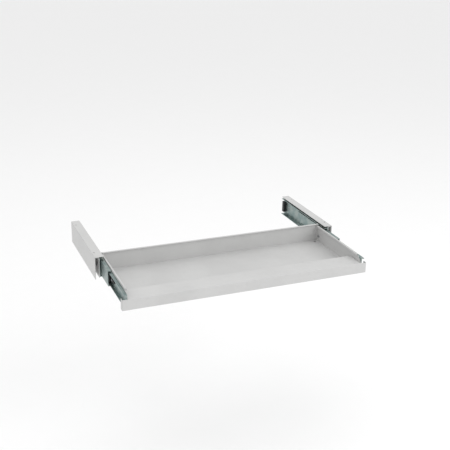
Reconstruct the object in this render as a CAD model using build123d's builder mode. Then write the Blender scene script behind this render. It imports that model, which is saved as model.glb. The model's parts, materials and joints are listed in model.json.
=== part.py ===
from build123d import *
import os

# Under-desk drawer: a folded steel tray with a front panel, on two three-member ball slides that
# hang from the underside of a desk top in two brackets.
#
# Millimetres. +X is the user's right, +Y goes under the desk, +Z is up. The origin is on the desk's
# underside, in the middle of the four mounting holes. The drawer is modelled part-way open.
# Paired pieces are made on the right (+X) and mirrored to the left.

# ---- front panel ----
panel_width = 600.0
panel_height = 25.0
panel_sheet = 1.2
ledge_depth = 52.0            # front face to the ledge's back edge
panel_return = 11.5           # how far the panel's two ends fold back
panel_lip = 12.0              # flanges at the bottom, front and rear
ledge_notch = 7.0             # relief at the ledge's rear corners
panel_fit_gap = 0.8           # ledge to the tray's side walls

# ---- tray ----
panel_overhang = 12.5         # panel past the tray, each end
tray_depth = 225.0            # front face to the tray's back
tray_sheet = 1.0
wall_height = 42.0
back_rise = 4.0               # the back wall stands above the side walls
hem_width = 4.0               # top edges rolled inwards
hem_drop = 4.5
wall_start = 20.0             # front face to the start of the floor and the full-height walls
nose_gap = 0.5                # panel to the tips of the side walls' sloping front ends
bend_radius = 1.6             # at the middle of the sheet
corner_hole_radius = 3.0      # in the floor, near the back corners
corner_hole_inset = 10.0

# ---- ball slide ----
slide_thickness = 12.7
slide_height = 45.5
slide_above_floor = 21.0      # slide's centre line above the tray's underside
rail_sheet = 1.2
flange_sheet = 1.5
cabinet_flange_gap = 2.2      # tray's wall to the tips of the fixed rail's flanges
outer_ball_radius = 1.6
inner_ball_radius = 1.4
race_clearance = 0.1
race_gap = 2.5                # rail flange to rail flange, where the outer balls run
inner_race_gap = 2.25         # the same, for the inner balls
cage_sheet = 0.6
cage_clearance = 0.3
member_gap = 0.5              # between pieces that pass each other
outer_ball_shift = 0.15       # slide's middle to the outer balls, towards the tray
ball_stagger = 1.5            # outer balls to inner balls, towards the tray
ball_pitch = 14.0
outer_ball_count = 7          # in each row
inner_ball_count = 4
cage_end_margin = 8.0         # cage past its last ball, each end
middle_length = 214.0
drawer_rail_setback = 3.0     # front face to the drawer rail's front end

# ---- brackets ----
bracket_length = 250.0
bracket_sheet = 1.2
carrier_sheet = 1.2
pocket_width = 8.4            # between the bracket's leg and the carrier
bracket_skirt = 5.25          # bracket leg below the slide
carrier_skirt = 2.25          # carrier leg below the slide
under_desk_gap = 3.0          # desk to the top of the back wall
top_web_reach = 21.0          # bracket's outer face to the inner edge of its top web
desk_hole_radius = 2.0
desk_hole_inset = 29.0        # bracket's ends to the hole centres

# ---- where the moving pieces stand in the modelled position ----
drawer_pull = 192.0           # bracket's front end to the panel's face
middle_pull = 66.0            # bracket's front end to the middle rail's front end
outer_cage_start = 19.0       # bracket's front end to the outer cage, inwards
inner_cage_pull = 41.0        # bracket's front end to the inner cage, outwards

# ---- fasteners and small pieces ----
screw_radius = 2.0
screw_clearance = 0.15
countersink_radius = 3.4
nut_width = 7.0               # across flats
nut_height = 2.4
carrier_screw_places = (0.12, 0.5, 0.88)     # share of the fixed rail's length
screw_tail = 0.8              # screw past its nut
pan_head_radius = 3.8
pan_head_height = 2.2
tray_screw_tail = 1.4         # screw past the drawer rail's web
tray_screw_front = 35.0       # front face to the front screw
tray_screw_inset = 11.0       # tray's back to the rear screw
tray_screw_drop = 6.5         # slide's centre line down to the tray screws
driver_radius = 1.3
driver_depth = 1.0
rivet_radius = 1.6
rivet_head_radius = 3.2
rivet_head_height = 0.9
panel_rivet_count = 5
panel_rivet_spacing = 120.0
lever_from_face = 118.0       # front face to the lever's pivot
lever_front = 20.0
lever_rear = 22.0
lever_eye_radius = 4.5
lever_tail_height = 5.0
lever_thickness = 2.0
lever_gap = 0.6               # drawer rail's web to the lever
lever_pin_radius = 1.95
lever_pin_clearance = 0.1
bumper_length = 8.0
bumper_height = 18.0
stop_length = 10.0
stop_height = 30.0
stop_inset = 1.5              # tips of the fixed rail's flanges to the rear stop's face

# ---- places that follow from the sizes above ----
tray_half = panel_width / 2 - panel_overhang
carrier_face = tray_half + slide_thickness
bracket_outer = carrier_face + carrier_sheet + pocket_width + bracket_sheet
floor_z = -(wall_height + back_rise + under_desk_gap)
slide_z = floor_z + slide_above_floor
bracket_bottom = slide_z - slide_height / 2 - bracket_skirt
bracket_front = -bracket_length / 2
face_y = bracket_front - drawer_pull
tray_back = face_y + tray_depth
lever_y = face_y + lever_from_face
rivet_y = face_y + ledge_depth - panel_sheet - panel_lip / 2
tray_screw_places = [
    (y, slide_z - tray_screw_drop)
    for y in (face_y + tray_screw_front, tray_back - tray_screw_inset)
]
carrier_screw_ys = [bracket_front + share * bracket_length for share in carrier_screw_places]

# Distances from the carrier towards the tray, in the slide's section.
cabinet_flange = slide_thickness - cabinet_flange_gap
middle_web_start = rail_sheet + cage_clearance + cage_sheet + member_gap
middle_web_end = middle_web_start + rail_sheet
middle_flange_end = slide_thickness - rail_sheet - member_gap
drawer_flange_start = middle_web_end + cage_clearance + cage_sheet + member_gap
outer_ball_offset = slide_thickness / 2 + outer_ball_shift
inner_ball_offset = outer_ball_offset + ball_stagger
lever_face = slide_thickness - rail_sheet - lever_gap
lever_back = lever_face - lever_thickness
bumper_depth = lever_back - rivet_head_height - member_gap - middle_web_end
stop_depth = cabinet_flange - stop_inset - rail_sheet

# Half heights of the flanges in the slide's section, from its centre line outwards.
cabinet_inside = slide_height / 2 - flange_sheet
middle_outside = cabinet_inside - race_gap
middle_inside = middle_outside - flange_sheet
drawer_outside = middle_inside - inner_race_gap
drawer_inside = drawer_outside - flange_sheet
outer_ball_height = (cabinet_inside + middle_outside) / 2
inner_ball_height = (middle_inside + drawer_outside) / 2
outer_cage_length = (outer_ball_count - 1) * ball_pitch + 2 * cage_end_margin
inner_cage_length = (inner_ball_count - 1) * ball_pitch + 2 * cage_end_margin

UPRIGHT = (Align.CENTER, Align.CENTER, Align.MIN)
HANGING = (Align.CENTER, Align.CENTER, Align.MAX)


def slide_section(y):
    """Plane of the right slide's section: its X runs from the carrier to the tray, its Y is up."""
    return Plane(origin=(carrier_face, y, slide_z), x_dir=(-1, 0, 0), z_dir=(0, 1, 0))


def across(offset, y=0.0, z=0.0):
    """Plane that faces outwards to the right, a distance from the carrier towards the tray."""
    return Plane(origin=(carrier_face - offset, y, z), x_dir=(0, 1, 0), z_dir=(1, 0, 0))


def facing_tray(offset, y):
    """Plane on the slide's centre line that faces the tray, for holes drilled from that side."""
    return Plane(origin=(carrier_face - offset, y, slide_z), x_dir=(0, 1, 0), z_dir=(-1, 0, 0))


def save(piece, name):
    piece.label = name
    export_step(piece, f"parts/{name}.step")


def save_pair(piece, name):
    """Write a right-hand piece and its mirror image."""
    save(piece, f"{name}_right")
    with BuildPart() as mirrored:
        mirror(piece, about=Plane.YZ)
    save(mirrored.part, f"{name}_left")


def save_both_sides(piece, name):
    """Write a right-hand group of fasteners and its mirror image as one node."""
    with BuildPart() as group:
        add(piece)
        mirror(piece, about=Plane.YZ)
    save(group.part, name)


os.makedirs("parts", exist_ok=True)

# ---- tray ----
wall_line = tray_half - tray_sheet / 2
wall_top = floor_z + wall_height - tray_sheet / 2
floor_line = floor_z + tray_sheet / 2
hem_line = wall_line - (hem_width - tray_sheet)
back_line = tray_back - tray_sheet / 2
back_top = floor_z + wall_height + back_rise - tray_sheet / 2
back_hem_line = back_line - (hem_width - tray_sheet)

with BuildPart() as tray:
    with BuildSketch(Plane.XZ.offset(-tray_back)) as wall_section:
        with BuildLine() as wall_path:
            FilletPolyline(
                (-hem_line, wall_top - hem_drop),
                (-hem_line, wall_top),
                (-wall_line, wall_top),
                (-wall_line, floor_line),
                (wall_line, floor_line),
                (wall_line, wall_top),
                (hem_line, wall_top),
                (hem_line, wall_top - hem_drop),
                radius=bend_radius - tray_sheet / 2,
            )
        trace(line_width=tray_sheet)
    extrude(amount=tray_depth - wall_start)
    for wall in (-wall_line, wall_line):
        with BuildSketch(Plane.YZ.offset(wall)) as sloping_front:
            Polygon(
                (face_y + wall_start, floor_z + 2 * bend_radius),
                (face_y + wall_start, floor_z + wall_height - 2 * bend_radius),
                (face_y + panel_sheet + nose_gap, floor_z + panel_height),
                (face_y + panel_sheet + nose_gap, floor_z + 2 * bend_radius),
                align=None,
            )
        extrude(amount=tray_sheet / 2, both=True)
    with BuildSketch(Plane.YZ.offset(-wall_line)) as back_section:
        with BuildLine() as back_path:
            FilletPolyline(
                (back_line, floor_z),
                (back_line, back_top),
                (back_hem_line, back_top),
                (back_hem_line, back_top - hem_drop / 2),
                radius=bend_radius - tray_sheet / 2,
            )
        trace(line_width=tray_sheet)
    extrude(amount=2 * wall_line)
    with BuildSketch(Plane.YZ) as screw_holes:
        with Locations(*tray_screw_places):
            Circle(screw_radius + screw_clearance)
    extrude(amount=tray_half, both=True, mode=Mode.SUBTRACT)
    with BuildSketch(Plane.XY.offset(floor_z)) as floor_holes:
        with Locations((0, rivet_y)):
            with GridLocations(panel_rivet_spacing, 0, panel_rivet_count, 1):
                Circle(rivet_radius + screw_clearance)
        with Locations((0, tray_back - corner_hole_inset)):
            with GridLocations(2 * (tray_half - corner_hole_inset), 0, 2, 1):
                Circle(corner_hole_radius)
    extrude(amount=tray_sheet, mode=Mode.SUBTRACT)
save(tray.part, "tray")

# ---- front panel: a wide face with folded ends, and a ledge and rear leg between the walls ----
ledge_half = tray_half - tray_sheet - panel_fit_gap
face_line = face_y + panel_sheet / 2
rear_leg_line = face_y + ledge_depth - panel_sheet / 2
ledge_line = floor_z + panel_height - panel_sheet / 2
lip_line = floor_z + tray_sheet + panel_sheet / 2

with BuildPart() as front_panel:
    with BuildSketch(Plane.YZ.offset(-ledge_half)) as ledge_section:
        with BuildLine() as ledge_path:
            FilletPolyline(
                (face_line + panel_lip, floor_z + panel_sheet / 2),
                (face_line, floor_z + panel_sheet / 2),
                (face_line, ledge_line),
                (rear_leg_line, ledge_line),
                (rear_leg_line, lip_line),
                (rear_leg_line - panel_lip, lip_line),
                radius=bend_radius - panel_sheet / 2,
            )
        trace(line_width=panel_sheet)
    extrude(amount=2 * ledge_half)
    with BuildSketch(Plane.XY.offset(floor_z)) as face_section:
        with BuildLine() as face_path:
            end_line = panel_width / 2 - panel_sheet / 2
            FilletPolyline(
                (-end_line, face_y + panel_return),
                (-end_line, face_line),
                (end_line, face_line),
                (end_line, face_y + panel_return),
                radius=bend_radius - panel_sheet / 2,
            )
        trace(line_width=panel_sheet)
    extrude(amount=panel_height)
    top_front_edge = (
        front_panel.edges()
        .filter_by(Axis.X)
        .filter_by_position(Axis.Y, face_y - 0.01, face_y + 0.01)
        .sort_by(Axis.Z)[-1]
    )
    fillet(top_front_edge, panel_sheet * 0.7)
    with BuildSketch(Plane.XY.offset(floor_z + panel_height)) as notches:
        with Locations((0, face_y + ledge_depth)):
            with GridLocations(2 * ledge_half, 0, 2, 1):
                Rectangle(2 * ledge_notch, 2 * ledge_notch)
    extrude(amount=-panel_height + tray_sheet, mode=Mode.SUBTRACT)
    with BuildSketch(Plane.XY.offset(floor_z)) as rivet_holes:
        with Locations((0, rivet_y)):
            with GridLocations(panel_rivet_spacing, 0, panel_rivet_count, 1):
                Circle(rivet_radius + screw_clearance)
    extrude(amount=panel_height / 2, mode=Mode.SUBTRACT)
save(front_panel.part, "front_panel")

# ---- rivets through the tray's floor and the panel's rear lip ----
rivet_length = tray_sheet + panel_sheet
with BuildPart() as panel_rivets:
    with Locations((0, rivet_y, floor_z)):
        with GridLocations(panel_rivet_spacing, 0, panel_rivet_count, 1):
            Cylinder(rivet_radius, rivet_length, align=UPRIGHT)
            Cylinder(rivet_head_radius, rivet_head_height, align=HANGING)
    with Locations((0, rivet_y, floor_z + rivet_length)):
        with GridLocations(panel_rivet_spacing, 0, panel_rivet_count, 1):
            Cone(rivet_head_radius, rivet_radius, rivet_head_height, align=UPRIGHT)
save(panel_rivets.part, "panel_rivets")

# ---- bracket: outer leg and top web; the carrier inside it holds the slide ----
hole_x = carrier_face + carrier_sheet + pocket_width / 2
leg_line = bracket_outer - bracket_sheet / 2
carrier_line = carrier_face + carrier_sheet / 2
carrier_top = -bracket_sheet - carrier_sheet / 2
bracket_back_plane = Plane.XZ.offset(bracket_front)

with BuildPart() as bracket:
    with BuildSketch(bracket_back_plane) as bracket_section:
        with BuildLine() as bracket_path:
            FilletPolyline(
                (leg_line, bracket_bottom),
                (leg_line, -bracket_sheet / 2),
                (bracket_outer - top_web_reach, -bracket_sheet / 2),
                radius=bend_radius - bracket_sheet / 2,
            )
        trace(line_width=bracket_sheet)
    extrude(amount=bracket_length)
    with BuildSketch(Plane.XY) as bracket_holes:
        with Locations((hole_x, 0)):
            with GridLocations(0, bracket_length - 2 * desk_hole_inset, 1, 2):
                Circle(desk_hole_radius)
    extrude(amount=-bracket_sheet, mode=Mode.SUBTRACT)
save_pair(bracket.part, "bracket")

with BuildPart() as slide_carrier:
    with BuildSketch(bracket_back_plane) as carrier_section:
        with BuildLine() as carrier_path:
            FilletPolyline(
                (carrier_line, slide_z - slide_height / 2 - carrier_skirt),
                (carrier_line, carrier_top),
                (bracket_outer - bracket_sheet - bend_radius / 4, carrier_top),
                radius=bend_radius - carrier_sheet / 2,
            )
        trace(line_width=carrier_sheet)
    extrude(amount=bracket_length)
    with BuildSketch(Plane.XY) as carrier_desk_holes:
        with Locations((hole_x, 0)):
            with GridLocations(0, bracket_length - 2 * desk_hole_inset, 1, 2):
                Circle(desk_hole_radius)
    extrude(amount=-bracket_sheet - carrier_sheet, mode=Mode.SUBTRACT)
    with BuildSketch(across(0)) as carrier_screw_holes:
        with Locations(*[(y, slide_z) for y in carrier_screw_ys]):
            Circle(screw_radius + screw_clearance)
    extrude(amount=carrier_sheet, mode=Mode.SUBTRACT)
save_pair(slide_carrier.part, "slide_carrier")


# ---- ball slide ----
def channel_section(web, flange, inside, outside, grooves):
    """Draw a rail's section in the open sketch.

    web and flange are (start, end) distances from the carrier, inside and outside are the flanges'
    half heights, and grooves are (distance, half height, radius) of the ball races.
    """
    with Locations(((web[0] + web[1]) / 2, 0)):
        Rectangle(web[1] - web[0], 2 * outside)
    with Locations(((flange[0] + flange[1]) / 2, 0)):
        with GridLocations(0, inside + outside, 1, 2):
            Rectangle(flange[1] - flange[0], outside - inside)
    for distance, height, radius in grooves:
        with Locations((distance, 0)):
            with GridLocations(0, 2 * height, 1, 2):
                Circle(radius, mode=Mode.SUBTRACT)


outer_groove = (outer_ball_offset, outer_ball_height, outer_ball_radius + race_clearance)
inner_groove = (inner_ball_offset, inner_ball_height, inner_ball_radius + race_clearance)
drawer_rail_start = face_y + drawer_rail_setback
middle_front = bracket_front - middle_pull

with BuildPart() as cabinet_member:
    with BuildSketch(slide_section(bracket_front)) as cabinet_section:
        channel_section(
            (0, rail_sheet), (0, cabinet_flange), cabinet_inside, slide_height / 2, [outer_groove]
        )
        fillet(cabinet_section.vertices().group_by(Axis.X)[0], flange_sheet * 0.6)
    extrude(amount=bracket_length)
    with Locations(*[facing_tray(rail_sheet, y) for y in carrier_screw_ys]):
        CounterSinkHole(
            screw_radius + screw_clearance, countersink_radius + screw_clearance, rail_sheet
        )
save_pair(cabinet_member.part, "cabinet_member")

with BuildPart() as middle_member:
    with BuildSketch(slide_section(middle_front)) as middle_section:
        channel_section(
            (middle_web_start, middle_web_end), (middle_web_start, middle_flange_end),
            middle_inside, middle_outside, [outer_groove, inner_groove],
        )
        fillet(middle_section.vertices().group_by(Axis.X)[0], flange_sheet * 0.6)
    extrude(amount=middle_length)
save_pair(middle_member.part, "middle_member")

with BuildPart() as drawer_member:
    with BuildSketch(slide_section(drawer_rail_start)) as drawer_section:
        channel_section(
            (slide_thickness - rail_sheet, slide_thickness), (drawer_flange_start, slide_thickness),
            drawer_inside, drawer_outside, [inner_groove],
        )
        fillet(drawer_section.vertices().group_by(Axis.X)[-1], flange_sheet * 0.6)
    extrude(amount=tray_back - drawer_rail_start)
    with BuildSketch(across(slide_thickness)) as drawer_rail_holes:
        with Locations(*tray_screw_places):
            Circle(screw_radius)
        with Locations((lever_y, slide_z)):
            Circle(lever_pin_radius + lever_pin_clearance)
    extrude(amount=rail_sheet, mode=Mode.SUBTRACT)
save_pair(drawer_member.part, "drawer_member")


def ball_places(offset, height, first_y, count):
    """Centres of both rows of balls, the first a margin in from the cage's front end."""
    return [
        (carrier_face - offset, first_y + cage_end_margin + number * ball_pitch, slide_z + row)
        for row in (-height, height)
        for number in range(count)
    ]


def ball_cage(front, length, web_start, tip, ball_offset, height, ball_radius, places):
    """A folded strip that spaces the balls: a web behind the rail and two flanges with holes."""
    with BuildPart() as cage:
        with BuildSketch(slide_section(front)):
            channel_section(
                (web_start, web_start + cage_sheet), (web_start, tip),
                height - cage_sheet / 2, height + cage_sheet / 2, [],
            )
        extrude(amount=length)
        with Locations(*places):
            Cylinder(ball_radius + race_clearance, 2 * cage_sheet, mode=Mode.SUBTRACT)
    return cage.part


def ball_set(radius, places):
    with BuildPart() as balls:
        with Locations(*places):
            Sphere(radius)
    return balls.part


cages = {
    "outer": (
        bracket_front + outer_cage_start, outer_ball_count, outer_cage_length,
        rail_sheet + cage_clearance, outer_ball_offset, outer_ball_height, outer_ball_radius,
    ),
    "inner": (
        bracket_front - inner_cage_pull, inner_ball_count, inner_cage_length,
        middle_web_end + cage_clearance, inner_ball_offset, inner_ball_height, inner_ball_radius,
    ),
}
for where, (front, count, length, web_start, offset, height, radius) in cages.items():
    places = ball_places(offset, height, front, count)
    tip = offset + radius + cage_sheet
    save_pair(
        ball_cage(front, length, web_start, tip, offset, height, radius, places), f"{where}_cage"
    )
    save_pair(ball_set(radius, places), f"{where}_balls")

# ---- plastic pieces of the slide ----
with BuildPart() as middle_bumper:
    with BuildSketch(across(middle_web_end)) as bumper_outline:
        with Locations((middle_front + bumper_length / 2, slide_z)):
            RectangleRounded(bumper_length, bumper_height, bumper_length / 4)
    extrude(amount=-bumper_depth)
    chamfer(middle_bumper.faces().sort_by(Axis.X)[0].edges(), bumper_depth / 5)
save_pair(middle_bumper.part, "middle_bumper")

with BuildPart() as rear_stop:
    with BuildSketch(across(rail_sheet)) as stop_outline:
        with Locations((-bracket_front - stop_length / 2, slide_z)):
            RectangleRounded(stop_length, stop_height, stop_length / 5)
    extrude(amount=-stop_depth)
    chamfer(rear_stop.faces().sort_by(Axis.X)[0].edges(), stop_depth / 8)
save_pair(rear_stop.part, "rear_stop")

with BuildPart() as release_lever:
    with BuildSketch(across(lever_face)) as lever_outline:
        with Locations((lever_y, slide_z)):
            Circle(lever_eye_radius)
            with Locations(((lever_rear - lever_front) / 2, 0)):
                SlotOverall(lever_front + lever_rear, lever_tail_height)
            Circle(lever_pin_radius + lever_pin_clearance, mode=Mode.SUBTRACT)
    extrude(amount=lever_thickness)
save_pair(release_lever.part, "release_lever")

with BuildPart() as lever_rivet:
    with BuildSketch(across(slide_thickness)) as pin_outline:
        with Locations((lever_y, slide_z)):
            Circle(lever_pin_radius)
    extrude(amount=lever_thickness + lever_gap + rail_sheet + lever_pin_clearance)
    with BuildSketch(across(lever_back - lever_pin_clearance)) as head_outline:
        with Locations((lever_y, slide_z)):
            Circle(rivet_head_radius)
    extrude(amount=rivet_head_height - lever_pin_clearance)
    fillet(lever_rivet.faces().sort_by(Axis.X)[-1].edges(), rivet_head_height / 3)
save_pair(lever_rivet.part, "lever_rivet")

# ---- screws and nuts ----
with BuildPart() as carrier_screws:
    with Locations(*[across(rail_sheet, y, slide_z) for y in carrier_screw_ys]):
        Cone(countersink_radius, screw_radius, rail_sheet, align=UPRIGHT)
    with Locations(*[across(0, y, slide_z) for y in carrier_screw_ys]):
        Cylinder(screw_radius, carrier_sheet + nut_height + screw_tail, align=UPRIGHT)
    with BuildSketch(across(rail_sheet)) as carrier_screw_drives:
        with Locations(*[(y, slide_z) for y in carrier_screw_ys]):
            RegularPolygon(driver_radius, 6)
    extrude(amount=driver_depth, mode=Mode.SUBTRACT)
save_both_sides(carrier_screws.part, "carrier_screws")

with BuildPart() as carrier_nuts:
    with BuildSketch(across(-carrier_sheet)) as nut_outline:
        with Locations(*[(y, slide_z) for y in carrier_screw_ys]):
            RegularPolygon(nut_width / 2, 6, major_radius=False)
            Circle(screw_radius, mode=Mode.SUBTRACT)
    extrude(amount=nut_height)
save_both_sides(carrier_nuts.part, "carrier_nuts")

wall_inside = slide_thickness + tray_sheet
with BuildPart() as tray_screws:
    with BuildSketch(across(wall_inside)) as tray_screw_shanks:
        with Locations(*tray_screw_places):
            Circle(screw_radius)
    extrude(amount=tray_sheet + rail_sheet + tray_screw_tail)
    with BuildSketch(across(wall_inside)) as tray_screw_heads:
        with Locations(*tray_screw_places):
            Circle(pan_head_radius)
    extrude(amount=-pan_head_height)
    fillet(tray_screws.faces().group_by(Axis.X)[0].edges(), pan_head_height / 2)
    with BuildSketch(across(wall_inside + pan_head_height)) as tray_screw_drives:
        with Locations(*tray_screw_places):
            RegularPolygon(driver_radius, 6)
    extrude(amount=driver_depth, mode=Mode.SUBTRACT)
save_both_sides(tray_screws.part, "tray_screws")
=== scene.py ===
"""Finishes an under-desk drawer: its loose pieces, its materials and a plain studio round it."""

import json
import math

import bmesh
import bpy
from bpy.props import FloatProperty, FloatVectorProperty, IntProperty, PointerProperty
from bpy.types import Operator, Panel, PropertyGroup
from mathutils import Matrix, Vector


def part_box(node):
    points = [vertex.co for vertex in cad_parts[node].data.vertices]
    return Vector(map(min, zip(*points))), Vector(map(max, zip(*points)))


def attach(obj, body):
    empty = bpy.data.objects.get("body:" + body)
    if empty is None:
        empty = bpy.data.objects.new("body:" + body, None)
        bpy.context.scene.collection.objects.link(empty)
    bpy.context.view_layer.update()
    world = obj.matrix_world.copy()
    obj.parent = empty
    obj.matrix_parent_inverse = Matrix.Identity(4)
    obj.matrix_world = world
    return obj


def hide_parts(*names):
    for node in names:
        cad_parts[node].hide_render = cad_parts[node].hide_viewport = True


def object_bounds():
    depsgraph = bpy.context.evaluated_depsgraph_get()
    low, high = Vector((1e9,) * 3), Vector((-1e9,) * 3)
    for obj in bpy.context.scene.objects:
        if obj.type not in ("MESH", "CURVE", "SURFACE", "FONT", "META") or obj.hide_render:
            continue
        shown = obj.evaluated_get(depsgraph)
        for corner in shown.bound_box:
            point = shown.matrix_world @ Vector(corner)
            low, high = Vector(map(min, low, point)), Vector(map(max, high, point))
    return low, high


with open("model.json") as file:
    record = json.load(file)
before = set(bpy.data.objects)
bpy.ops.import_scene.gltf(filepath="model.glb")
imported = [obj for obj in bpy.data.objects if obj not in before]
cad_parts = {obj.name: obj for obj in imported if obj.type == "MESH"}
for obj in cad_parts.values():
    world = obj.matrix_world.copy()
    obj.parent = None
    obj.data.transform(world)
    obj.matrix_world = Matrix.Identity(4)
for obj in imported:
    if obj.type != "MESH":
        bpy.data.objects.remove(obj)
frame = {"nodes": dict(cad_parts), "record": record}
cad_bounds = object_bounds()

bl_info = {
    "name": "Under-desk Drawer",
    "version": (1, 0, 0),
    "blender": (4, 5, 0),
    "location": "View3D > Sidebar > Drawer",
    "description": "Builds and finishes a steel under-desk drawer on ball slides",
    "category": "Object",
}

SIDES = ("left", "right")
MM = 0.001

# Shares of a fastener's own head or body.
PAN_SHANK = 0.52
SUNK_SHANK = 0.58
NUT_HOLE = 0.58
NUT_CHAMFER = 0.16
MANDREL_SHARE = 0.45

# Colours that don't change with the finish settings.
STRAW_STAIN = (0.33, 0.33, 0.28)
# Lighter edges of the zinc rails: painted highlight and rubbed plating.
BRIGHT_EDGE = (0.72, 0.74, 0.74)
SCUFFED_EDGE = (0.78, 0.78, 0.77)
GREASE = (0.44, 0.40, 0.30)
PLASTIC_DUST = (0.045, 0.045, 0.045)
RUBBED_PLASTIC = (0.09, 0.09, 0.09)

# Where the lights hang from the drawer's middle, and how wide they are, in metres.
KEY_PLACE = (1.9, -2.2, 1.6)
KEY_SIZE = 2.4
OVERHEAD_PLACE = (-0.2, 0.3, 2.2)
OVERHEAD_SIZE = 2.6

# How far the floor reaches from its middle, in metres.
FLOOR_REACH = 12.0


# ---------------------------------------------------------------- sizes and colours


class DrawerFinish(PropertyGroup):
    """Colours of the drawer's materials, and how worn they are."""

    coat: FloatVectorProperty(
        name="Powder coat", description="Colour of the folded sheet pieces",
        default=(0.555, 0.555, 0.55), size=3, subtype="COLOR", min=0, max=1,
    )
    coat_roughness: FloatProperty(
        name="Coat roughness", description="Roughness of the powder coat",
        default=0.42, min=0, max=1, subtype="FACTOR",
    )
    peel_size: FloatProperty(
        name="Orange peel", description="Distance between the bumps of the powder coat",
        default=1.6 * MM, min=0.1 * MM, unit="LENGTH",
    )
    wear: FloatProperty(
        name="Edge wear", description="How far the coat has thinned along the sheets' edges",
        default=0.35, min=0, max=1, subtype="FACTOR",
    )
    zinc: FloatVectorProperty(
        name="Zinc", description="Colour of the plated slide rails",
        default=(0.20, 0.27, 0.265), size=3, subtype="COLOR", min=0, max=1,
    )
    zinc_bloom: FloatVectorProperty(
        name="Zinc bloom", description="Paler patches in the plating",
        default=(0.33, 0.385, 0.37), size=3, subtype="COLOR", min=0, max=1,
    )
    strip: FloatVectorProperty(
        name="Cage strip", description="Colour of the pressed ball cages",
        default=(0.40, 0.40, 0.38), size=3, subtype="COLOR", min=0, max=1,
    )
    ball: FloatVectorProperty(
        name="Ball steel", description="Colour of the polished balls",
        default=(0.72, 0.72, 0.73), size=3, subtype="COLOR", min=0, max=1,
    )
    # The default is much darker than bright zinc: painted shade on the screws, nuts and rivets.
    fastener: FloatVectorProperty(
        name="Fastener", description="Colour of the screws, nuts and rivets",
        default=(0.30, 0.31, 0.32), size=3, subtype="COLOR", min=0, max=1,
    )
    plastic: FloatVectorProperty(
        name="Black plastic", description="Colour of the levers, bumpers and stops",
        default=(0.018, 0.019, 0.020), size=3, subtype="COLOR", min=0, max=1,
    )
    floor: FloatVectorProperty(
        name="Studio floor", description="Colour of the floor and backdrop",
        default=(0.95, 0.95, 0.95), size=3, subtype="COLOR", min=0, max=1,
    )


class DrawerDetails(PropertyGroup):
    """Sizes and counts of the small pieces that are modelled here."""

    facets: IntProperty(
        name="Facets", description="Sides of a turned piece", default=32, min=12, max=96,
    )
    outer_balls: IntProperty(
        name="Outer balls", description="Balls in each row of the outer cage", default=7, min=2,
    )
    inner_balls: IntProperty(
        name="Inner balls", description="Balls in each row of the inner cage", default=4, min=2,
    )
    panel_rivets: IntProperty(
        name="Panel rivets", description="Rivets along the front panel's rear lip",
        default=5, min=2,
    )
    carrier_screws: IntProperty(
        name="Carrier screws", description="Screws through each fixed rail", default=3, min=2,
    )
    stop_ribs: IntProperty(
        name="Stop ribs", description="Ribs on the front of a rear stop", default=5, min=2,
    )
    rail_sheet: FloatProperty(
        name="Sheet", description="Thickness of the rails' and carriers' sheet",
        default=1.2 * MM, min=0.3 * MM, unit="LENGTH",
    )
    tray_sheet: FloatProperty(
        name="Tray sheet", description="Thickness of the tray's sheet",
        default=1.0 * MM, min=0.3 * MM, unit="LENGTH",
    )
    pan_head: FloatProperty(
        name="Pan head", description="Height of a tray screw's head",
        default=2.2 * MM, min=0.5 * MM, unit="LENGTH",
    )
    rivet_head: FloatProperty(
        name="Rivet head", description="Height of a rivet's head",
        default=0.9 * MM, min=0.1 * MM, unit="LENGTH",
    )
    lever_tail: FloatProperty(
        name="Lever tail", description="Height of the release lever beside its eye",
        default=5.0 * MM, min=1.0 * MM, unit="LENGTH",
    )
    lever_hole: FloatProperty(
        name="Lever hole", description="Radius of the hole that the lever turns on",
        default=2.05 * MM, min=0.5 * MM, unit="LENGTH",
    )
    drive_radius: FloatProperty(
        name="Hex drive", description="Corner radius of the screws' hexagon sockets",
        default=1.3 * MM, min=0.2 * MM, unit="LENGTH",
    )
    drive_depth: FloatProperty(
        name="Drive depth", description="Depth of the screws' hexagon sockets",
        default=1.1 * MM, min=0.1 * MM, unit="LENGTH",
    )
    edge_round: FloatProperty(
        name="Moulded edge", description="Rounding of the plastic pieces' edges",
        default=0.5 * MM, min=0.05 * MM, unit="LENGTH",
    )
    rib_depth: FloatProperty(
        name="Rib depth", description="Depth of the grooves in the plastic pieces",
        default=0.7 * MM, min=0.05 * MM, unit="LENGTH",
    )


class DrawerStudio(PropertyGroup):
    """The camera, the lights and the floor."""

    eye: FloatVectorProperty(
        name="Camera place", description="Where the camera stands, from the drawer's origin",
        default=(-0.7097, -1.8681, 0.7580), size=3, subtype="TRANSLATION", unit="LENGTH",
    )
    turn: FloatProperty(
        name="Turn", description="Camera's turn about the upright, from facing +Y",
        default=math.radians(-22.521), subtype="ANGLE", unit="ROTATION",
    )
    tip: FloatProperty(
        name="Tip", description="Camera's tip above the horizontal",
        default=math.radians(-20.855), subtype="ANGLE", unit="ROTATION",
    )
    roll: FloatProperty(
        name="Roll", description="Camera's roll about its own line of sight",
        default=math.radians(1.105), subtype="ANGLE", unit="ROTATION",
    )
    lens: FloatProperty(
        name="Lens", description="Focal length in millimetres on a 36 mm sensor",
        default=66.46, min=10, max=300,
    )
    floor_drop: FloatProperty(
        name="Floor drop", description="How far the studio floor lies under the drawer",
        default=0.45, min=0.05, unit="LENGTH",
    )
    key: FloatProperty(
        name="Key light", description="Power of the large front light in watts",
        default=27.0, min=0,
    )
    overhead: FloatProperty(
        name="Overhead light", description="Power of the overhead light in watts",
        default=9.0, min=0,
    )
    surround: FloatProperty(
        name="Surround", description="Brightness of the white surround", default=0.9, min=0,
    )


def finish_settings():
    return bpy.context.scene.drawer_finish


def detail_settings():
    return bpy.context.scene.drawer_details


def studio_settings():
    return bpy.context.scene.drawer_studio


# ---------------------------------------------------------------- shader expressions


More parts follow.
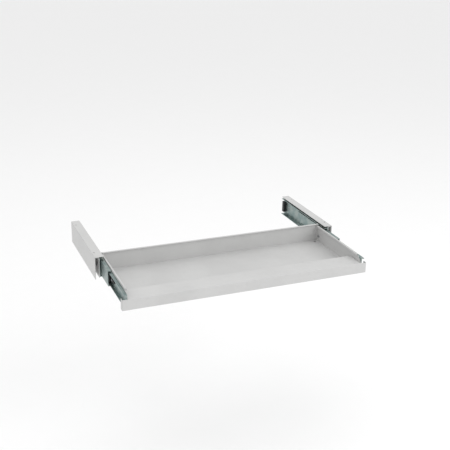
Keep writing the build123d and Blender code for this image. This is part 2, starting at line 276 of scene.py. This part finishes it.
class Wire:
    """A socket of a shader that can be used in a Python expression."""

    def __init__(self, shader, socket):
        self.shader = shader
        self.socket = socket

    def maths(self, operation, *values):
        inputs = dict(enumerate(values))
        return self.shader.node("ShaderNodeMath", {"operation": operation}, inputs).out("Value")

    def __add__(self, other):
        return self.maths("ADD", self, other)

    def __mul__(self, other):
        return self.maths("MULTIPLY", self, other)

    def __rsub__(self, other):
        return self.maths("SUBTRACT", other, self)

    __radd__ = __add__
    __rmul__ = __mul__

    def clamped(self):
        return self.maths("MINIMUM", self.maths("MAXIMUM", self, 0.0), 1.0)

    def between(self, low, high):
        """0 where this is under low, 1 where it is over high, and smooth in between."""
        inputs = {"Value": self, "From Min": low, "From Max": high}
        settings = {"interpolation_type": "SMOOTHSTEP"}
        return self.shader.node("ShaderNodeMapRange", settings, inputs).out("Result")


class NodeBox:
    """One node, with its outputs as wires."""

    def __init__(self, shader, node):
        self.shader = shader
        self.node = node

    def out(self, name):
        return Wire(self.shader, self.node.outputs[name])


class Shader:
    """A material made of nodes, with one Principled shader."""

    def __init__(self, name, roughness, metallic=0.0, **uniform):
        self.material = bpy.data.materials.new(name)
        self.material.use_nodes = True
        self.tree = self.material.node_tree
        self.surface = self.tree.nodes["Principled BSDF"]
        self.surface.inputs["Roughness"].default_value = roughness
        self.surface.inputs["Metallic"].default_value = metallic
        for socket, value in uniform.items():
            self.surface.inputs[socket.replace("_", " ")].default_value = value
        self.place = self.node("ShaderNodeTexCoord", {}, {}).out("Object")

    def node(self, kind, settings, inputs):
        """Add a node: its settings first, then the values or wires of its sockets."""
        node = self.tree.nodes.new(kind)
        for name, value in settings.items():
            setattr(node, name, value)
        for name, value in inputs.items():
            if isinstance(value, Wire):
                self.tree.links.new(value.socket, node.inputs[name])
            else:
                node.inputs[name].default_value = value
        return NodeBox(self, node)

    def feed(self, socket, wire):
        self.tree.links.new(wire.socket, self.surface.inputs[socket])

    def noise(self, size, detail=2.0, stretch=(1, 1, 1)):
        """Noise whose blotches are about size metres across, stretched along the axes."""
        scale = tuple(1 / (size * part) for part in stretch)
        place = self.node("ShaderNodeMapping", {}, {"Vector": self.place, "Scale": scale})
        inputs = {"Vector": place.out("Vector"), "Scale": 1.0, "Detail": detail}
        return self.node("ShaderNodeTexNoise", {}, inputs).out("Fac")

    def mix(self, amount, first, second):
        """Blend two colours."""
        socket = {"data_type": "RGBA"}
        node = self.node("ShaderNodeMix", socket, {"Factor": amount})
        for index, value in ((6, first), (7, second)):
            if isinstance(value, Wire):
                self.tree.links.new(value.socket, node.node.inputs[index])
            else:
                node.node.inputs[index].default_value = (*value, 1.0)
        return Wire(self, node.node.outputs[2])

    def edges(self, radius):
        """1 along the piece's sharp edges, 0 on its flat faces."""
        rounded = self.node("ShaderNodeBevel", {"samples": 4}, {"Radius": radius}).out("Normal")
        flat = self.node("ShaderNodeNewGeometry", {}, {}).out("Normal")
        dot = self.node("ShaderNodeVectorMath", {"operation": "DOT_PRODUCT"}, {0: rounded, 1: flat})
        return (1 - dot.out("Value")).between(0.01, 0.25)

    def bump(self, height, distance, strength=1.0, edge_radius=None):
        """Feed the shader's Normal with a bump, on edges rounded by edge_radius."""
        inputs = {"Height": height, "Distance": distance, "Strength": strength}
        if edge_radius:
            settings = {"samples": 4}
            inputs["Normal"] = self.node(
                "ShaderNodeBevel", settings, {"Radius": edge_radius}
            ).out("Normal")
        self.feed("Normal", self.node("ShaderNodeBump", {}, inputs).out("Normal"))


def scaled(colour, factor):
    return tuple(min(1.0, part * factor) for part in colour)


def powder_coat():
    """Satin light grey powder coat with a fine orange peel, worn along its edges."""
    finish = finish_settings()
    shader = Shader("powder_coat", finish.coat_roughness, Specular_IOR_Level=0.42)
    colour = tuple(finish.coat)
    cloud = shader.noise(90 * MM, 3.0)
    dust = shader.noise(14 * MM, 5.0)
    edge = shader.edges(0.8 * MM)
    chips = (edge * shader.noise(5 * MM, 4.0).between(0.48, 0.62) * finish.wear).clamped()
    tone = shader.mix(cloud.between(0.3, 0.7), scaled(colour, 0.965), scaled(colour, 1.03))
    tone = shader.mix(dust.between(0.55, 0.8) * 0.25, tone, scaled(colour, 0.86))
    tone = shader.mix(chips, tone, scaled(colour, 0.62))
    shader.feed("Base Color", tone)
    peel = shader.noise(finish.peel_size, 1.0)
    grit = shader.noise(finish.peel_size * 0.3, 1.0)
    shader.feed("Roughness", cloud * 0.10 + (peel * 0.08 + (finish.coat_roughness - 0.09)))
    shader.bump(peel * 0.8 + grit * 0.2, 0.06 * MM, 0.55, 0.25 * MM)
    return shader.material


def zinc_plate():
    """Blue-green passivated zinc over rolled strip, with bloom, roll marks, a grease film and lighter
    edges that are partly rubbed plating and partly a painted highlight.
    """
    finish = finish_settings()
    shader = Shader("zinc_plate", 0.34, metallic=0.88)
    bloom = shader.noise(16 * MM, 4.0)
    rolled = shader.noise(1.1 * MM, 3.0, stretch=(1, 60, 1))
    stain = shader.noise(34 * MM, 3.0, stretch=(1, 3, 1))
    tone = shader.mix(bloom.between(0.35, 0.7), tuple(finish.zinc), tuple(finish.zinc_bloom))
    tone = shader.mix(stain.between(0.55, 0.75) * 0.4, tone, STRAW_STAIN)
    tone = shader.mix(rolled.between(0.5, 0.8) * 0.3, tone, scaled(finish.zinc, 0.55))
    # Painted highlight along the rails' edges, which also stands for plating rubbed bright there.
    rub_and_highlight = shader.edges(0.5 * MM)
    tone = shader.mix(rub_and_highlight * 0.5, tone, BRIGHT_EDGE)
    shader.feed("Base Color", tone)
    shader.feed("Roughness", bloom * 0.18 + (rolled * 0.10 + 0.20))
    shader.bump(rolled * 0.7 + bloom * 0.3, 0.03 * MM, 0.5, 0.25 * MM)
    return shader.material


def pressed_strip():
    """Thin pressed steel strip with a film of grease."""
    shader = Shader("pressed_strip", 0.36, metallic=0.9)
    colour = tuple(finish_settings().strip)
    grease = shader.noise(7 * MM, 4.0)
    drawn = shader.noise(0.8 * MM, 2.0, stretch=(1, 40, 1))
    tone = shader.mix(grease.between(0.4, 0.7), colour, scaled(colour, 0.55))
    shader.feed("Base Color", tone)
    shader.feed("Roughness", grease * 0.2 + 0.24)
    shader.bump(drawn, 0.02 * MM, 0.5, 0.15 * MM)
    return shader.material


def ball_steel():
    """Polished bearing steel, smeared with grease."""
    shader = Shader("ball_steel", 0.12, metallic=1.0)
    colour = tuple(finish_settings().ball)
    smear = shader.noise(2.2 * MM, 3.0)
    tone = shader.mix(smear.between(0.5, 0.7), colour, GREASE)
    shader.feed("Base Color", tone)
    shader.feed("Roughness", smear.between(0.45, 0.7) * 0.3 + 0.08)
    shader.bump(smear, 0.02 * MM, 0.3)
    return shader.material


def bright_fastener():
    """Bright zinc on turned and pressed fasteners, scuffed at the edges, its colour darkened as painted
    shade.
    """
    shader = Shader("bright_fastener", 0.3, metallic=0.92)
    # This colour holds painted shade: it is set well below bright zinc.
    colour = tuple(finish_settings().fastener)
    scuff = shader.noise(1.5 * MM, 4.0)
    edge = shader.edges(0.3 * MM)
    tone = shader.mix(scuff.between(0.45, 0.7), colour, scaled(colour, 0.7))
    tone = shader.mix(edge * 0.6, tone, SCUFFED_EDGE)
    shader.feed("Base Color", tone)
    shader.feed("Roughness", scuff * 0.22 + 0.2)
    shader.bump(scuff, 0.02 * MM, 0.6, 0.12 * MM)
    return shader.material


def black_plastic():
    """Moulded black plastic with a fine spark-eroded grain."""
    shader = Shader("black_plastic", 0.45, Specular_IOR_Level=0.45)
    colour = tuple(finish_settings().plastic)
    grain = shader.noise(0.35 * MM, 3.0)
    dust = shader.noise(6 * MM, 4.0)
    rubbed = shader.edges(0.5 * MM)
    tone = shader.mix(dust.between(0.5, 0.8) * 0.5, colour, PLASTIC_DUST)
    tone = shader.mix(rubbed * 0.5, tone, RUBBED_PLASTIC)
    shader.feed("Base Color", tone)
    shader.feed("Roughness", grain * 0.2 + (dust * 0.1 + 0.34))
    shader.bump(grain, 0.04 * MM, 0.6)
    return shader.material


def studio_paper():
    """Pale matt paper for the floor and backdrop."""
    shader = Shader("studio_paper", 0.85, Specular_IOR_Level=0.1)
    fibre = shader.noise(60 * MM, 3.0)
    colour = tuple(finish_settings().floor)
    shader.feed("Base Color", shader.mix(fibre, colour, scaled(colour, 0.985)))
    return shader.material


MAKERS = {
    "powder_coat": powder_coat,
    "zinc": zinc_plate,
    "cage_steel": pressed_strip,
    "ball_steel": ball_steel,
    "fastener_steel": bright_fastener,
    "black_plastic": black_plastic,
    "studio_paper": studio_paper,
}
made_materials = {}


def material_for(slot):
    """The material of a slot, made the first time that it is asked for."""
    if slot not in made_materials:
        made_materials[slot] = MAKERS[slot]()
    return made_materials[slot]


# ---------------------------------------------------------------- meshes


def finish_mesh(mesh, name, body, node, slot, smooth_angle=math.radians(35)):
    """Turn a bmesh into a shaded object that rides on a body and replaces a node."""
    bmesh.ops.remove_doubles(mesh, verts=mesh.verts, dist=0.001 * MM)
    bmesh.ops.recalc_face_normals(mesh, faces=mesh.faces)
    data = bpy.data.meshes.new(name)
    mesh.to_mesh(data)
    mesh.free()
    data.shade_smooth()
    data.set_sharp_from_angle(angle=smooth_angle)
    data.materials.append(material_for(slot))
    piece = bpy.data.objects.new(name, data)
    bpy.context.scene.collection.objects.link(piece)
    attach(piece, body)
    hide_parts(node)
    return piece


def loft(mesh, rings, place, hollow=False):
    """Join rings of (radius, height, sides) along the local Z of place.

    The ends are capped, or joined to each other in a hollow piece.
    """
    loops = []
    for radius, height, sides in rings:
        matrix = place @ Matrix.Translation((0, 0, height))
        made = bmesh.ops.create_circle(mesh, segments=sides, radius=radius, matrix=matrix)
        corners = set(made["verts"])
        loops.append([edge for edge in mesh.edges if set(edge.verts) <= corners])
    for lower, upper in zip(loops, loops[1:]):
        bmesh.ops.bridge_loops(mesh, edges=lower + upper)
    if hollow:
        bmesh.ops.bridge_loops(mesh, edges=loops[-1] + loops[0])
    else:
        bmesh.ops.holes_fill(mesh, edges=loops[0] + loops[-1], sides=0)


def dome(radius, height, sides, base, top_radius=0.0, steps=6):
    """Rings of a rounded head that stands on base: an ellipse from its rim to its flat top."""
    rings = []
    for step in range(steps + 1):
        angle = math.radians(90) * step / steps
        ring_radius = top_radius + (radius - top_radius) * math.cos(angle)
        if ring_radius > 0.02 * MM:
            rings.append((ring_radius, base + height * math.sin(angle), sides))
    return rings


def hex_socket(top, radius, depth):
    """Rings of a hexagon socket that goes down from top."""
    rim = 0.12 * MM
    return [(radius + rim, top, 6), (radius, top - rim, 6), (radius, top - depth, 6)]


def flipped(rings):
    """The same rings turned upside down."""
    return [(radius, -height, sides) for radius, height, sides in reversed(rings)]


def rounded_block(mesh, low, high, rounding, segments=3):
    """A block between two corners with rounded edges."""
    size = high - low
    matrix = Matrix.Translation((low + high) / 2) @ Matrix.Diagonal((*size, 1.0))
    made = bmesh.ops.create_cube(mesh, size=1.0, matrix=matrix)
    corners = set(made["verts"])
    edges = [edge for edge in mesh.edges if set(edge.verts) <= corners]
    bmesh.ops.bevel(
        mesh, geom=edges, offset=rounding, offset_type="OFFSET", affect="EDGES",
        segments=segments, profile=0.5, material=-1, clamp_overlap=True,
    )


def recess(mesh, direction, rim, depth):
    """Sink the middle of every large face that faces a direction."""
    facing = [face for face in mesh.faces if face.normal.dot(direction) > 0.999]
    largest = max(face.calc_area() for face in facing)
    wide = [face for face in facing if face.calc_area() > largest * 0.9]
    bmesh.ops.inset_individual(mesh, faces=wide, thickness=rim, depth=-depth)


def outward(side):
    """+1 on the right, -1 on the left."""
    return 1 if side == "right" else -1


def facing_x(place, direction):
    """Matrix that puts local Z along +X or -X at a place."""
    turn = Matrix.Rotation(math.radians(90 * direction), 4, "Y")
    return Matrix.Translation(place) @ turn


def spread(low, high, count):
    """Count evenly spaced values from low to high."""
    return [low + (high - low) * step / (count - 1) for step in range(count)]


# ---------------------------------------------------------------- operators


class DRAWER_OT_finish_sheet(Operator):
    """Give every carried-over piece of the drawer its material"""

    bl_idname = "drawer.finish_sheet"
    bl_label = "Finish folded sheet and rails"

    def execute(self, context):
        for entry in frame["record"]["subparts"]:
            piece = frame["nodes"][entry["node"]]
            piece.data.materials.clear()
            piece.data.materials.append(material_for(entry["material_slot"]))
        return {"FINISHED"}


class DRAWER_OT_add_balls(Operator):
    """Make the polished balls of both cages on both slides"""

    bl_idname = "drawer.add_balls"
    bl_label = "Ball sets"

    def execute(self, context):
        details = detail_settings()
        for cage, count in (("outer", details.outer_balls), ("inner", details.inner_balls)):
            for side in SIDES:
                self.make_set(f"{cage}_balls_{side}", f"{cage}_cage_{side}", count)
        return {"FINISHED"}

    def make_set(self, node, body, count):
        low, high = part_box(node)
        radius = (high.x - low.x) / 2
        mesh = bmesh.new()
        for height in (low.z + radius, high.z - radius):
            for depth in spread(low.y + radius, high.y - radius, count):
                place = Matrix.Translation((low.x + radius, depth, height))
                bmesh.ops.create_icosphere(mesh, subdivisions=3, radius=radius, matrix=place)
        finish_mesh(mesh, f"{node}_polished", body, node, "ball_steel", math.radians(60))


class DRAWER_OT_add_tray_screws(Operator):
    """Make the pan-head screws that hold the tray on its slides"""

    bl_idname = "drawer.add_tray_screws"
    bl_label = "Tray screws"

    def execute(self, context):
        details = detail_settings()
        low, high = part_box("tray_screws")
        head_radius = (high.z - low.z) / 2
        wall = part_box("tray")[1].x
        sheet = details.tray_sheet
        head_height = details.pan_head
        tail = high.x - wall
        mesh = bmesh.new()
        for side in SIDES:
            seat = outward(side) * (wall - sheet)
            for depth in (low.y + head_radius, high.y - head_radius):
                place = facing_x((seat, depth, (low.z + high.z) / 2), -outward(side))
                shank = head_radius * PAN_SHANK
                rings = [(shank * 0.8, -tail - sheet, details.facets)]
                rings += self.thread(shank, -tail - sheet * 0.6, 0.0, details.facets)
                rings += [(head_radius * 0.97, 0.0, details.facets)]
                rings += dome(head_radius, head_height, details.facets, 0.0, details.drive_radius * 1.5)
                rings += hex_socket(head_height, details.drive_radius, details.drive_depth)
                loft(mesh, rings, place)
        finish_mesh(mesh, "tray_screws_pan_head", "drawer", "tray_screws", "fastener_steel")
        return {"FINISHED"}

    def thread(self, radius, bottom, top, sides):
        """Rings of a shank with shallow thread grooves."""
        rings = []
        for number, height in enumerate(spread(bottom, top, 9)):
            rings.append((radius * (1.0 if number % 2 else 0.86), height, sides))
        return rings


class DRAWER_OT_add_panel_rivets(Operator):
    """Make the blind rivets that join the tray to the front panel"""

    bl_idname = "drawer.add_panel_rivets"
    bl_label = "Panel rivets"

    def execute(self, context):
        details = detail_settings()
        low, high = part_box("panel_rivets")
        head = (high.y - low.y) / 2
        height = details.rivet_head
        body = head / 2
        mesh = bmesh.new()
        for across in spread(low.x + head, high.x - head, details.panel_rivets):
            place = Matrix.Translation((across, low.y + head, low.z + height))
            top = high.z - low.z - 2 * height
            mandrel = body * MANDREL_SHARE
            rings = flipped(dome(head, height, details.facets, 0.0, mandrel))
            rings += [(body, 0.0, details.facets), (body, top, details.facets)]
            rings += dome(body * 1.7, height, details.facets, top, mandrel * 1.2)
            rings += [(mandrel, top + height * 0.9, details.facets)]
            rings += [(mandrel * 0.9, top + height * 0.2, details.facets)]
            loft(mesh, rings, place)
        finish_mesh(mesh, "panel_rivets_blind", "drawer", "panel_rivets", "fastener_steel")
        return {"FINISHED"}


class DRAWER_OT_add_carrier_screws(Operator):
    """Make the countersunk screws that hold the fixed rails on their carriers"""

    bl_idname = "drawer.add_carrier_screws"
    bl_label = "Carrier screws"

    def execute(self, context):
        details = detail_settings()
        low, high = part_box("carrier_screws")
        head = (high.z - low.z) / 2
        shank = head * SUNK_SHANK
        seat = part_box("slide_carrier_right")[0].x
        tip = high.x - seat
        mesh = bmesh.new()
        for side in SIDES:
            for depth in spread(low.y + head, high.y - head, details.carrier_screws):
                centre = (outward(side) * seat, depth, (low.z + high.z) / 2)
                place = facing_x(centre, -outward(side))
                sink = details.rail_sheet
                rings = [(shank * 0.8, -tip, details.facets)]
                rings += [(shank, -tip + shank * 0.2, details.facets)]
                rings += [(shank, 0.0, details.facets), (head, sink * 0.9, details.facets)]
                rings += [(head * 0.98, sink, details.facets)]
                rings += hex_socket(sink, details.drive_radius, details.drive_depth)
                loft(mesh, rings, place)
        finish_mesh(mesh, "carrier_screws_countersunk", "root", "carrier_screws", "fastener_steel")
        return {"FINISHED"}


class DRAWER_OT_add_carrier_nuts(Operator):
    """Make the chamfered hexagon nuts behind the carriers"""

    bl_idname = "drawer.add_carrier_nuts"
    bl_label = "Carrier nuts"

    def execute(self, context):
        details = detail_settings()
        low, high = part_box("carrier_nuts")
        flat = (high.z - low.z) / 2
        corner = (flat / math.cos(math.radians(30))) * 0.995
        hole = flat * NUT_HOLE
        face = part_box("slide_carrier_right")[0].x + details.rail_sheet
        height = high.x - face
        bevel = height * NUT_CHAMFER
        mesh = bmesh.new()
        for side in SIDES:
            for depth in spread(low.y + corner, high.y - corner, details.carrier_screws):
                centre = (outward(side) * face, depth, (low.z + high.z) / 2)
                place = facing_x(centre, outward(side))
                rings = [(hole, 0.0, details.facets), (flat * 0.95, 0.0, details.facets)]
                rings += [(corner, bevel, 6), (corner, height - bevel, 6)]
                rings += [(flat * 0.95, height, details.facets)]
                rings += [(hole * 1.1, height, details.facets)]
                rings += [(hole, height - bevel, details.facets)]
                loft(mesh, rings, place, hollow=True)
        finish_mesh(mesh, "carrier_nuts_hexagon", "root", "carrier_nuts", "fastener_steel")
        return {"FINISHED"}


class DRAWER_OT_add_release_levers(Operator):
    """Make the plastic levers that let the drawer come off its slides"""

    bl_idname = "drawer.add_release_levers"
    bl_label = "Release levers"

    def execute(self, context):
        for side in SIDES:
            self.make_lever(side)
        return {"FINISHED"}

    def make_lever(self, side):
        details = detail_settings()
        node = f"release_lever_{side}"
        low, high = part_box(node)
        pin_low, pin_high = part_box(f"lever_rivet_{side}")
        pivot = (pin_low + pin_high) / 2
        eye = (high.z - low.z) / 2
        outline = self.outline(low.y - pivot.y, high.y - pivot.y, details.lever_tail / 2, eye)
        mesh = bmesh.new()
        outer = [mesh.verts.new((low.x, pivot.y + y, pivot.z + z)) for y, z in outline]
        inner = []
        for y, z in outline:
            share = details.lever_hole / math.hypot(y, z)
            inner.append(mesh.verts.new((low.x, pivot.y + y * share, pivot.z + z * share)))
        for number in range(len(outline)):
            after = (number + 1) % len(outline)
            mesh.faces.new((outer[number], outer[after], inner[after], inner[number]))
        grown = bmesh.ops.extrude_face_region(mesh, geom=mesh.faces[:])
        moved = [item for item in grown["geom"] if isinstance(item, bmesh.types.BMVert)]
        bmesh.ops.translate(mesh, verts=moved, vec=(high.x - low.x, 0, 0))
        mesh.normal_update()
        corners = [
            edge for edge in mesh.edges
            if edge.is_manifold and edge.calc_face_angle() > math.radians(80)
        ]
        bmesh.ops.bevel(
            mesh, geom=corners, offset=details.edge_round * 0.5, offset_type="OFFSET",
            affect="EDGES", segments=2, profile=0.5, material=-1, clamp_overlap=True,
        )
        finish_mesh(mesh, f"{node}_moulded", f"lever_{side}", node, "black_plastic")

    def outline(self, front, rear, half_height, eye):
        """Points of the lever's outline round its pivot: two rounded tails and a round eye."""
        start = math.degrees(math.asin(half_height / eye))
        arcs = (
            (rear - half_height, half_height, -90, 90),
            (0.0, eye, start, 180 - start),
            (front + half_height, half_height, 90, 270),
            (0.0, eye, 180 + start, 360 - start),
        )
        points = []
        for centre, radius, first, last in arcs:
            for angle in spread(math.radians(first), math.radians(last), 9):
                points.append((centre + radius * math.cos(angle), radius * math.sin(angle)))
        return points


class DRAWER_OT_add_lever_rivets(Operator):
    """Make the shouldered rivets that the release levers turn on"""

    bl_idname = "drawer.add_lever_rivets"
    bl_label = "Lever rivets"

    def execute(self, context):
        details = detail_settings()
        for side in SIDES:
            node = f"lever_rivet_{side}"
            low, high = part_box(node)
            head = (high.z - low.z) / 2
            seat = low.x if side == "right" else high.x
            place = facing_x((seat, (low.y + high.y) / 2, (low.z + high.z) / 2), outward(side))
            shoulder = high.x - low.x - details.rivet_head
            pin = details.lever_hole * 0.95
            rings = [(pin * 0.92, 0.0, details.facets), (pin, pin * 0.08, details.facets)]
            rings += [(pin, shoulder, details.facets), (head * 0.97, shoulder, details.facets)]
            rings += dome(head, details.rivet_head, details.facets, shoulder, head * 0.35)
            mesh = bmesh.new()
            loft(mesh, rings, place)
            finish_mesh(mesh, f"{node}_shouldered", "drawer", node, "fastener_steel")
        return {"FINISHED"}


class DRAWER_OT_add_bumpers(Operator):
    """Make the moulded end bumpers of the middle rails"""

    bl_idname = "drawer.add_bumpers"
    bl_label = "Middle rail bumpers"

    def execute(self, context):
        details = detail_settings()
        for side in SIDES:
            node = f"middle_bumper_{side}"
            low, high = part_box(node)
            mesh = bmesh.new()
            rounded_block(mesh, low, high, details.edge_round)
            mesh.normal_update()
            facing = Vector((-outward(side), 0, 0))
            recess(mesh, facing, details.edge_round * 2, details.rib_depth)
            finish_mesh(mesh, f"{node}_moulded", f"middle_{side}", node, "black_plastic")
        return {"FINISHED"}


class DRAWER_OT_add_rear_stops(Operator):
    """Make the ribbed plastic stops at the rear of the fixed rails"""

    bl_idname = "drawer.add_rear_stops"
    bl_label = "Rear stops"

    def execute(self, context):
        details = detail_settings()
        for side in SIDES:
            node = f"rear_stop_{side}"
            low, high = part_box(node)
            mesh = bmesh.new()
            back = low.copy()
            back.y += details.rib_depth * 2
            rounded_block(mesh, back, high, details.edge_round)
            rib = (high.z - low.z) / (2 * details.stop_ribs - 1)
            for number in range(details.stop_ribs):
                foot = Vector((low.x, low.y, low.z + 2 * number * rib))
                top = Vector((high.x, back.y + details.edge_round * 2, foot.z + rib))
                rounded_block(mesh, foot, top, details.edge_round * 0.6)
            finish_mesh(mesh, f"{node}_ribbed", "root", node, "black_plastic")
        return {"FINISHED"}


class DRAWER_OT_build_studio(Operator):
    """Set up the floor, the backdrop, the lights and the camera"""

    bl_idname = "drawer.build_studio"
    bl_label = "Studio"

    def execute(self, context):
        studio = studio_settings()
        self.lay_floor(-studio.floor_drop)
        centre = (cad_bounds[0] + cad_bounds[1]) / 2
        self.hang_light("key", centre + Vector(KEY_PLACE), centre, KEY_SIZE, studio.key)
        above = centre + Vector(OVERHEAD_PLACE)
        self.hang_light("overhead", above, centre, OVERHEAD_SIZE, studio.overhead)
        self.whiten_surround(studio.surround)
        self.place_camera(studio)
        context.scene.view_settings.view_transform = "Standard"
        return {"FINISHED"}

    def lay_floor(self, height):
        mesh = bmesh.new()
        place = Matrix.Translation((0, 0, height))
        bmesh.ops.create_grid(mesh, x_segments=8, y_segments=8, size=FLOOR_REACH, matrix=place)
        data = bpy.data.meshes.new("studio_floor")
        mesh.to_mesh(data)
        mesh.free()
        data.materials.append(material_for("studio_paper"))
        floor = bpy.data.objects.new("studio_floor", data)
        bpy.context.scene.collection.objects.link(floor)

    def hang_light(self, name, place, target, size, power):
        light = bpy.data.lights.new(name, "AREA")
        light.shape = "DISK"
        light.size = size
        light.energy = power
        lamp = bpy.data.objects.new(name, light)
        lamp.location = place
        lamp.rotation_euler = (target - place).to_track_quat("-Z", "Y").to_euler()
        bpy.context.scene.collection.objects.link(lamp)

    def whiten_surround(self, strength):
        world = bpy.data.worlds.new("white_surround")
        world.use_nodes = True
        background = world.node_tree.nodes["Background"]
        background.inputs["Color"].default_value = (1.0, 1.0, 1.0, 1.0)
        background.inputs["Strength"].default_value = strength
        bpy.context.scene.world = world

    def place_camera(self, studio):
        data = bpy.data.cameras.new("camera")
        data.sensor_width = 36.0
        data.lens = studio.lens
        camera = bpy.data.objects.new("camera", data)
        upright = Matrix.Rotation(studio.turn, 4, "Z")
        tipped = Matrix.Rotation(math.radians(90) + studio.tip, 4, "X")
        rolled = Matrix.Rotation(studio.roll, 4, "Z")
        camera.matrix_world = Matrix.Translation(studio.eye) @ upright @ tipped @ rolled
        bpy.context.scene.collection.objects.link(camera)
        bpy.context.scene.camera = camera


OPERATORS = (
    DRAWER_OT_finish_sheet,
    DRAWER_OT_add_balls,
    DRAWER_OT_add_tray_screws,
    DRAWER_OT_add_panel_rivets,
    DRAWER_OT_add_carrier_screws,
    DRAWER_OT_add_carrier_nuts,
    DRAWER_OT_add_release_levers,
    DRAWER_OT_add_lever_rivets,
    DRAWER_OT_add_bumpers,
    DRAWER_OT_add_rear_stops,
    DRAWER_OT_build_studio,
)


class DRAWER_PT_tools(Panel):
    """Lists the drawer's steps in the order that they are run."""

    bl_idname = "DRAWER_PT_tools"
    bl_label = "Under-desk Drawer"
    bl_space_type = "VIEW_3D"
    bl_region_type = "UI"
    bl_category = "Drawer"

    def draw(self, context):
        for operator in OPERATORS:
            self.layout.operator(operator.bl_idname)


GROUPS = {
    "drawer_finish": DrawerFinish,
    "drawer_details": DrawerDetails,
    "drawer_studio": DrawerStudio,
}


def register():
    for group in GROUPS.values():
        bpy.utils.register_class(group)
    for name, group in GROUPS.items():
        setattr(bpy.types.Scene, name, PointerProperty(type=group))
    for operator in OPERATORS:
        bpy.utils.register_class(operator)
    bpy.utils.register_class(DRAWER_PT_tools)


def unregister():
    bpy.utils.unregister_class(DRAWER_PT_tools)
    for operator in reversed(OPERATORS):
        bpy.utils.unregister_class(operator)
    for name, group in GROUPS.items():
        delattr(bpy.types.Scene, name)
        bpy.utils.unregister_class(group)


def main():
    register()
    for operator in OPERATORS:
        group, name = operator.bl_idname.split(".")
        getattr(getattr(bpy.ops, group), name)()


if __name__ == "__main__":
    main()
